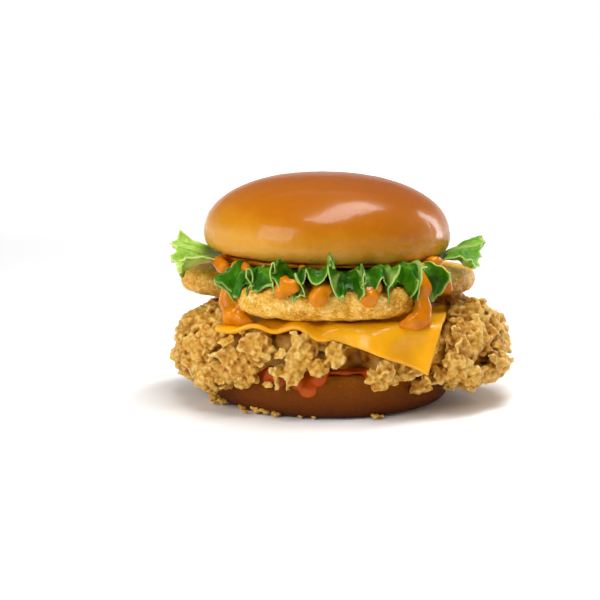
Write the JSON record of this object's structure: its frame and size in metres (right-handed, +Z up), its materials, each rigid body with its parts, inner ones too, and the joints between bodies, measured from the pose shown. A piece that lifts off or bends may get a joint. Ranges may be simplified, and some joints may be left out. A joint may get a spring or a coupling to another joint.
{
  "type": "chicken burger",
  "caption": "Crispy chicken burger in a glazed bun with a craggy fried fillet, melted cheese slice, hash browns, lettuce and dripping orange sauce.",
  "frame": {"origin": "centre of the heel's flat underside, which stands on the table", "axes": "+Z up through the layers, -Y towards the front, where the cheese corner hangs down, +X to the right seen from the front"},
  "size_m": [0.1364, 0.1149, 0.0913],
  "materials": {
    "glazed_bun": "baked and egg-washed",
    "fried_potato": "fried, granular",
    "fried_batter": "fried, craggy",
    "melted_cheese": "melted, glossy",
    "lettuce_leaf": "fresh, slightly waxy",
    "orange_sauce": "wet, glossy",
    "chilli_sauce": "wet, glossy"
  },
  "bodies": {
    "root": {"bun_heel": "glazed_bun", "bun_crown": "glazed_bun", "cheese_slice": "melted_cheese", "hash_brown_back": "fried_potato", "hash_brown_front": "fried_potato", "lettuce_front": "lettuce_leaf", "lettuce_back": "lettuce_leaf", "lettuce_left": "lettuce_leaf", "lettuce_right": "lettuce_leaf", "sauce_lower": "chilli_sauce", "chicken_fillet": "fried_batter", "sauce_hash": "orange_sauce", "sauce_crown": "orange_sauce"}
  },
  "joints": []
}
